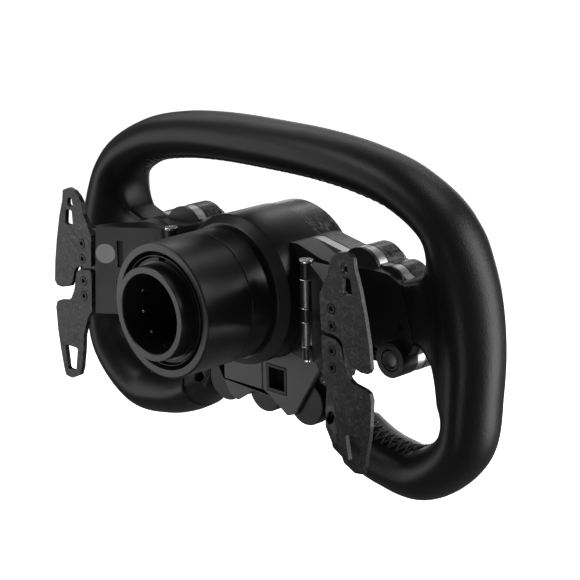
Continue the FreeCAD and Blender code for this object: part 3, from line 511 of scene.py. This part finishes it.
def spoke_distance(p):
    """Signed distance to the rounded spoke pad, the same on both sides."""
    across = polygon_distance(np.abs(p[:, 0]), p[:, 2], SPOKE_OUTLINE) + SPOKE_ROUND
    middle = (SPOKE_REAR_Y + SPOKE_FRONT_Y) / 2
    depth = np.abs(p[:, 1] - middle) - (SPOKE_REAR_Y - SPOKE_FRONT_Y) / 2 + SPOKE_ROUND
    outside = np.sqrt(np.maximum(across, 0) ** 2 + np.maximum(depth, 0) ** 2)
    return outside + np.minimum(np.maximum(across, depth), 0) - SPOKE_ROUND


def leather_distance(p):
    """Grip and spokes joined with a wide soft fillet."""
    a = rim_distance(p)
    b = spoke_distance(p)
    h = np.maximum(FLARE - np.abs(a - b), 0) / FLARE
    return np.minimum(a, b) - h * h * FLARE / 4


def surface_net(distance, low, high, step):
    """Quad mesh of the zero surface of a distance function, settled onto it."""
    axes = [np.arange(low[i], high[i] + step, step) for i in range(3)]
    grid = np.stack(np.meshgrid(*axes, indexing="ij"), -1)
    shape = grid.shape[:3]
    field = distance(grid.reshape(-1, 3)).reshape(shape)
    inside = field < 0
    cells = tuple(n - 1 for n in shape)
    total = np.zeros(cells + (3,))
    count = np.zeros(cells)
    corner = [(i, j, k) for i in (0, 1) for j in (0, 1) for k in (0, 1)]

    def at(array, offset):
        return array[tuple(slice(o, o + n) for o, n in zip(offset, cells))]

    for first in corner:
        for axis in range(3):
            if first[axis]:
                continue
            second = tuple(v + (i == axis) for i, v in enumerate(first))
            fa = at(field, first)
            fb = at(field, second)
            cross = (fa < 0) != (fb < 0)
            t = np.where(cross, fa / np.where(cross, fa - fb, 1), 0)
            for i in range(3):
                total[..., i] += np.where(cross, first[i] + (t if i == axis else 0), 0)
            count += cross
    active = count > 0
    index = np.full(cells, -1)
    index[active] = np.arange(active.sum())
    where = np.argwhere(active)
    verts = np.array(low) + step * (where + total[active] / count[active][:, None])
    faces = []
    for axis in range(3):
        u, v = [(1, 2), (2, 0), (0, 1)][axis]
        ahead = np.moveaxis(inside, (axis, u, v), (0, 1, 2))
        cell_index = np.moveaxis(index, (axis, u, v), (0, 1, 2))
        a = ahead[:-1, 1:-1, 1:-1]
        b = ahead[1:, 1:-1, 1:-1]
        for here, order in ((a & ~b, 1), (~a & b, -1)):
            i, j, k = np.nonzero(here)
            quad = np.column_stack([cell_index[i, j, k], cell_index[i, j + 1, k],
                                    cell_index[i, j + 1, k + 1], cell_index[i, j, k + 1]])
            faces.append(quad[:, ::order])
    faces = np.vstack(faces)
    for _ in range(3):
        value = distance(verts)
        slope = np.stack([distance(verts + np.eye(3)[i] * 0.05) - value for i in range(3)], -1) / 0.05
        steep = (slope ** 2).sum(1)
        verts = verts - slope * (value / np.maximum(steep, 0.25))[:, None]
    return verts, faces


def mesh_object(name, verts, faces, key, body="chassis", smooth=True):
    """Millimetre vertices to a scene object that rides a body."""
    mesh = bpy.data.meshes.new(name)
    mesh.from_pydata((np.asarray(verts) * MM).tolist(), [], [list(map(int, f)) for f in faces])
    mesh.polygons.foreach_set("use_smooth", [smooth] * len(mesh.polygons))
    mesh.update()
    obj = bpy.data.objects.new(name, mesh)
    bpy.context.scene.collection.objects.link(obj)
    paint(obj, key)
    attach(obj, body)
    return obj


def rim_point(s, angle, lift=0.0):
    """Point on the grip's surface at arc length s; angle 0 faces inwards, 90 faces rearwards."""
    x, z, a = [np.interp(s, PATH_LENGTH, PATH[:, i]) for i in range(3)]
    inward = np.array([np.interp(s, PATH_LENGTH, INWARD[:, i]) for i in range(2)])
    c = math.cos(math.radians(angle))
    t = math.sin(math.radians(angle))
    u = a * c
    v = RIM_DEPTH * t
    normal = np.array([u / a ** 2, v / RIM_DEPTH ** 2])
    normal /= np.linalg.norm(normal)
    u += normal[0] * lift
    v += normal[1] * lift
    return np.array([x + inward[0] * u, RIM_Y + v, z + inward[1] * u])


def tube_mesh(points, radius, sides=6):
    """Vertices and faces of a round tube along points, with closed ends."""
    points = np.asarray(points, float)
    tangent = np.gradient(points, axis=0)
    tangent /= np.linalg.norm(tangent, axis=1)[:, None] + 1e-12
    guide = np.array([0.31, 0.92, 0.22])
    side = np.cross(tangent, guide)
    side /= np.linalg.norm(side, axis=1)[:, None] + 1e-12
    up = np.cross(side, tangent)
    turn = np.arange(sides) * 2 * math.pi / sides
    rings = points[:, None] + radius * (np.cos(turn)[None, :, None] * side[:, None]
                                        + np.sin(turn)[None, :, None] * up[:, None])
    count = len(points)
    faces = []
    for i in range(count - 1):
        for j in range(sides):
            k = (j + 1) % sides
            faces.append([i * sides + j, i * sides + k, (i + 1) * sides + k, (i + 1) * sides + j])
    faces.append(list(range(sides))[::-1])
    faces.append([(count - 1) * sides + j for j in range(sides)])
    return rings.reshape(-1, 3), faces


def joined(parts):
    """Several (vertices, faces) sets as one set."""
    verts = []
    faces = []
    base = 0
    for v, f in parts:
        verts.append(v)
        faces += [[i + base for i in face] for face in f]
        base += len(v)
    return np.vstack(verts), faces


SEAM_ANGLE = 10.0
SEAM_SWING = 50.0
SEAM_SWING_FROM_X = 92.0
SEAM_SWING_WIDTH = 32.0
SEAM_HALF = 20.0
SEAM_CLEAR_OF_SPOKE = 7.0
SEAM_EDGE_OFFSETS = (-1.9, 1.9)
SEAM_EDGE_R = 0.5
STITCH_PITCH = 5.6
THREAD_R = 0.42


def seam_angle(s):
    """The seam faces inwards over the top and bottom, and swings to the driver's side at the spokes."""
    x = abs(np.interp(s, PATH_LENGTH, PATH[:, 0]))
    t = min(max((x - SEAM_SWING_FROM_X) / SEAM_SWING_WIDTH, 0.0), 1.0)
    return SEAM_ANGLE - SEAM_SWING * t * t * (3 - 2 * t)


def on_open_rim(s):
    """True where the seam is not covered by a spoke."""
    return spoke_distance(rim_point(s, seam_angle(s))[None])[0] > SEAM_CLEAR_OF_SPOKE


def build_leather():
    """Padded leather over rim and spokes, the sunk seam's two edges, and the crossed lacing over it."""
    verts, faces = surface_net(leather_distance, *LEATHER_BOX, LEATHER_STEP)
    leather = mesh_object("rim_leather", verts, faces, "leather")
    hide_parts("rim_grip", "right_spoke_wrap", "left_spoke_wrap")
    edges = []
    threads = []
    stations = [s for s in np.arange(6.0, PATH_LENGTH[-1] - 6.0, STITCH_PITCH) if on_open_rim(s)]
    runs = [[]]
    for s in stations:
        if runs[-1] and s - runs[-1][-1] > STITCH_PITCH * 1.5:
            runs.append([])
        runs[-1].append(s)
    for run in runs:
        fine = np.arange(run[0] - 3, run[-1] + 3, 2.0)
        for offset in SEAM_EDGE_OFFSETS:
            edges.append(tube_mesh([rim_point(s, seam_angle(s) + offset, -0.05) for s in fine], SEAM_EDGE_R))
        for s in run:
            for way in (-1, 1):
                path = []
                for t in np.linspace(-1, 1, 7):
                    lift = 0.45 - 0.55 * t ** 6 + (0.25 * (1 - t * t) if way > 0 else 0)
                    at = s + way * t * STITCH_PITCH / 2
                    path.append(rim_point(at, seam_angle(at) + t * SEAM_HALF, lift))
                threads.append(tube_mesh(path, THREAD_R))
    mesh_object("rim_seam_edges", *joined(edges), "leather")
    mesh_object("rim_cross_stitches", *joined(threads), "thread")


build_leather()


# ---- Quick release spring, which the sleeve squeezes ----
SPRING_FIXED_Y = -36.3
SPRING_FREE_Y = -19.2
SPRING_R = 28.2
SPRING_WIRE_R = 0.9
SPRING_TURNS = 4.5


def build_spring():
    turn = np.linspace(0.0, 2 * math.pi * SPRING_TURNS, 300)
    along = np.linspace(SPRING_FIXED_Y + SPRING_WIRE_R, SPRING_FREE_Y - SPRING_WIRE_R, 300)
    line = np.column_stack([SPRING_R * np.cos(turn), along, SPRING_R * np.sin(turn)])
    coil = mesh_object("qr_spring_coil", *tube_mesh(line, SPRING_WIRE_R, 8), "steel_spring")
    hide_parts("qr_spring")
    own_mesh(coil)


build_spring()


# ---- Grip end caps with their screwed straps ----
CAP_LINE = [(57.6, -71.7, 12.3, 16.6), (46.0, -64.5, 9.4, 11.0)]
STRAP = [(44.2, -39.4), (49.5, -39.4), (52.6, -52.0), (57.6, -61.5), (57.6, -73.0), (47.5, -67.2),
         (43.4, -62.0), (44.6, -50.0)]
CAP_ROUND = 3.0
CAP_BLEND = 5.0
STRAP_ROUND = 1.5
STRAP_MIDDLE_Y = -86.8
STRAP_HALF_DEPTH = 7.2
LOBE = (30.5, -60.0, 12.8)
BARREL_R = 40.3
CAP_SCREW = (50.0, -63.4, 2.7)
CAP_SCREW_SEAT_Y = -81.8
CAP_BOX = (np.array([42.0, -108.0, -90.0]), np.array([60.5, -70.0, -37.0]))
CAP_STEP = 0.8


def cap_distance(p):
    """Tapered end of the grip, melted into the strap that runs up to the hub; the same on both sides."""
    x = np.abs(p[:, 0])
    y = p[:, 1]
    z = p[:, 2]
    (x0, z0, a0, b0), (x1, z1, a1, b1) = CAP_LINE
    run = np.array([x1 - x0, z1 - z0])
    length = np.linalg.norm(run)
    run /= length
    along = (x - x0) * run[0] + (z - z0) * run[1]
    off = -(x - x0) * run[1] + (z - z0) * run[0]
    share = np.clip(along / length, 0, 1)
    a = a0 + (a1 - a0) * share
    b = b0 + (b1 - b0) * share
    v = y - RIM_Y
    k0 = np.sqrt((off / a) ** 2 + (v / b) ** 2)
    k1 = np.sqrt((off / a ** 2) ** 2 + (v / b ** 2) ** 2) + 1e-9
    side = np.where(k0 < 0.02, -a, k0 * (k0 - 1) / k1)
    end = along - length
    tip = np.sqrt(np.maximum(side + CAP_ROUND, 0) ** 2 + np.maximum(end + CAP_ROUND, 0) ** 2) - CAP_ROUND
    tip = np.where((side < -CAP_ROUND) & (end < -CAP_ROUND), np.maximum(side, end), tip)
    cone = np.maximum(tip, -along)
    across = polygon_distance(x, z, STRAP) + STRAP_ROUND
    depth = np.abs(y - STRAP_MIDDLE_Y) - STRAP_HALF_DEPTH + STRAP_ROUND
    strap = np.sqrt(np.maximum(across, 0) ** 2 + np.maximum(depth, 0) ** 2) + np.minimum(
        np.maximum(across, depth), 0) - STRAP_ROUND
    h = np.maximum(CAP_BLEND - np.abs(cone - strap), 0) / CAP_BLEND
    whole = np.minimum(cone, strap) - h * h * CAP_BLEND / 4
    lobe = LOBE[2] - np.hypot(x - LOBE[0], z - LOBE[1])
    barrel = BARREL_R - np.hypot(x, z)
    hole = np.hypot(x - CAP_SCREW[0], z - CAP_SCREW[1]) - CAP_SCREW[2]
    screw = np.maximum(hole, CAP_SCREW_SEAT_Y - y)
    return np.maximum(np.maximum(whole, np.maximum(lobe, barrel)), -screw)


def build_end_caps():
    verts, faces = surface_net(cap_distance, *CAP_BOX, CAP_STEP)
    for side, sign in (("right", 1), ("left", -1)):
        placed = verts * np.array([sign, 1.0, 1.0])
        cap = mesh_object(side + "_end_cap", placed, faces[:, ::sign], "black_plastic")
        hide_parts(side + "_lower_bracket")


build_end_caps()
